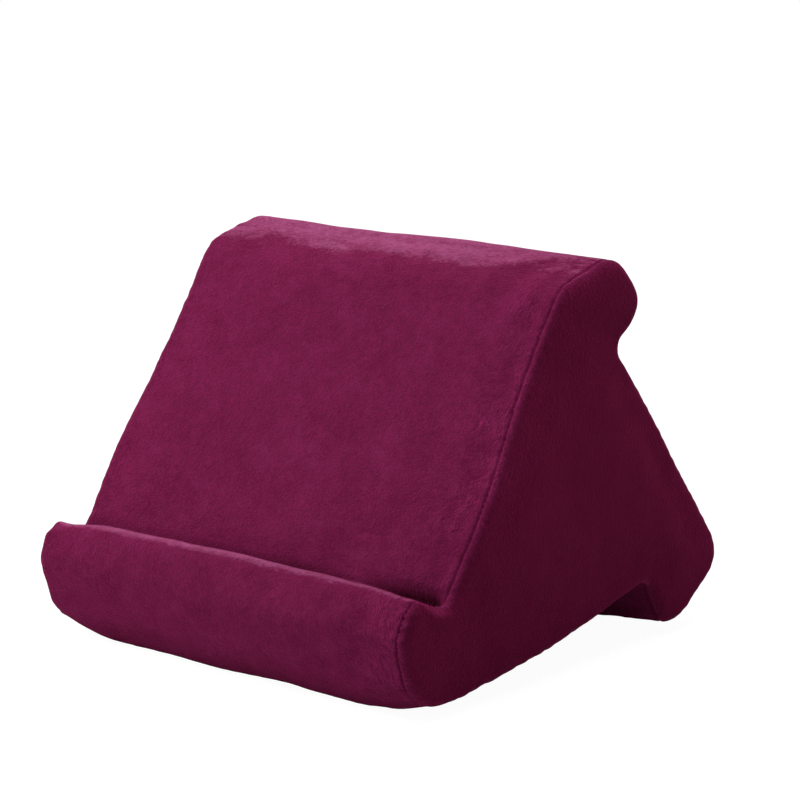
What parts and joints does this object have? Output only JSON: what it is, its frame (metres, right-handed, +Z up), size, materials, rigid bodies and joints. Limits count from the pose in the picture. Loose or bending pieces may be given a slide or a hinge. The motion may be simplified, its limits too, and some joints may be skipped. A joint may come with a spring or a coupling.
{
  "type": "tablet cushion stand",
  "caption": "Soft free-standing tablet stand: a foam block with three arms, each with a ledge that stops a tablet, in a zipped plush cover.",
  "frame": {"origin": "on the floor, under the middle of the cushion's box", "axes": "+X along the cushion's width, +Y from the face towards the back, +Z up; the tablet's face looks towards -Y"},
  "size_m": [0.282, 0.3008, 0.2365],
  "materials": {
    "plush": "short-pile plush, burgundy, with a soft sheen",
    "foam": "open-cell foam, cream",
    "zip_tape": "woven tape",
    "zip_coil": "nylon coil",
    "zip_metal": "nickel plated"
  },
  "bodies": {
    "cushion": {"foam_core": "foam", "wrap_panel": "plush", "left_side_panel": "plush", "right_side_panel": "plush", "zipper_tape_upper": "zip_tape", "zipper_tape_lower": "zip_tape", "zipper_coil_upper": "zip_coil", "zipper_coil_lower": "zip_coil", "zipper_top_stop_upper": "zip_metal", "zipper_top_stop_lower": "zip_metal", "zipper_bottom_stop": "zip_metal"},
    "slider": {"zipper_slider": "zip_metal"},
    "pull_tab": {"zipper_pull_tab": "zip_metal"}
  },
  "joints": [
    {"name": "slider_travel", "type": "slide", "parent": "cushion", "child": "slider", "axis": [-1, 0, 0], "range_m": [0, 0.208]},
    {"name": "pull_tab_hinge", "type": "hinge", "parent": "slider", "child": "pull_tab", "pos_m": [0.104, 0.13023, 0.08031], "axis": [0, 0.6157, -0.788], "range_deg": [0, 175]}
  ]
}
